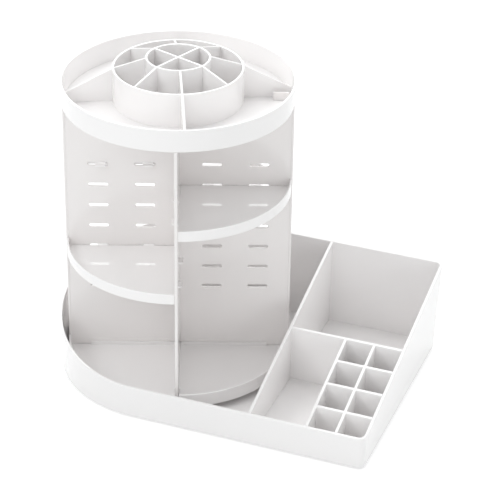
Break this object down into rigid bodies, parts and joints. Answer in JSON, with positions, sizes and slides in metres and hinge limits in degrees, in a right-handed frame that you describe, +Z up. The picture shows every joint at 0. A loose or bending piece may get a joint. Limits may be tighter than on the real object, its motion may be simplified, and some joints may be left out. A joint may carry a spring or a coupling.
{
  "type": "rotating makeup organizer",
  "caption": "Round tower of cross panels and hook-in quarter shelves with a cup insert on top, turning on a ball ring in a long tray with a sloping rim, compartments and lipstick cells",
  "frame": {"origin": "middle of the base tray's footprint, at the table under the rubber feet", "axes": "+Z up; +X along the tray from the round end with the tower to the compartments; +Y from the low front rim to the high back rim"},
  "size_m": [0.3826, 0.2564, 0.3566],
  "materials": {
    "tray_plastic": "glossy moulded ABS, white",
    "tower_plastic": "glossy moulded ABS, white",
    "panel_plastic": "satin-gloss moulded ABS, white",
    "insert_plastic": "glossy moulded ABS, white",
    "cage_plastic": "plain acetal, off-white",
    "ball_steel": "polished bearing steel",
    "zinc_steel": "zinc-plated steel",
    "foot_rubber": "soft pale grey rubber"
  },
  "bodies": {
    "base": {"base_tray": "tray_plastic", "side_block_walls": "tray_plastic", "long_divider": "tray_plastic", "lipstick_grid": "tray_plastic", "rubber_feet": "foot_rubber"},
    "ball_ring": {"ball_cage": "cage_plastic", "bearing_balls": "ball_steel"},
    "tower": {"turntable_disc": "tower_plastic", "pivot_washer": "zinc_steel", "pivot_screw": "zinc_steel", "wide_panel": "panel_plastic", "cross_panel": "panel_plastic", "top_tray": "tower_plastic"},
    "cup_insert": {"cup_insert": "insert_plastic"},
    "shelf_rear_right": {"shelf_rear_right": "tower_plastic"},
    "shelf_rear_left": {"shelf_rear_left": "tower_plastic"},
    "shelf_front_left": {"shelf_front_left": "tower_plastic"},
    "shelf_front_right": {"shelf_front_right": "tower_plastic"}
  },
  "joints": [
    {"name": "tower_spin", "type": "hinge", "parent": "base", "child": "tower", "pos_m": [-0.06317, -0.0013, 0], "axis": [0, 0, 1], "continuous": true},
    {"name": "ball_ring_spin", "type": "hinge", "parent": "base", "child": "ball_ring", "pos_m": [-0.06317, -0.0013, 0], "axis": [0, 0, 1], "continuous": true},
    {"name": "cup_insert_lift", "type": "slide", "parent": "tower", "child": "cup_insert", "axis": [0, 0, 1], "range_m": [0, 0.06]},
    {"name": "shelf_rear_right_pull_out", "type": "slide", "parent": "tower", "child": "shelf_rear_right", "axis": [0.4027, 0.9153, 0], "range_m": [0, 0.06]},
    {"name": "shelf_rear_left_pull_out", "type": "slide", "parent": "tower", "child": "shelf_rear_left", "axis": [-0.9153, 0.4027, 0], "range_m": [0, 0.06]},
    {"name": "shelf_front_left_pull_out", "type": "slide", "parent": "tower", "child": "shelf_front_left", "axis": [-0.4027, -0.9153, 0], "range_m": [0, 0.06]},
    {"name": "shelf_front_right_pull_out", "type": "slide", "parent": "tower", "child": "shelf_front_right", "axis": [0.9153, -0.4027, 0], "range_m": [0, 0.06]}
  ],
  "couplings": [
    {"joint": "ball_ring_spin", "follows": "tower_spin", "ratio": 0.5}
  ]
}
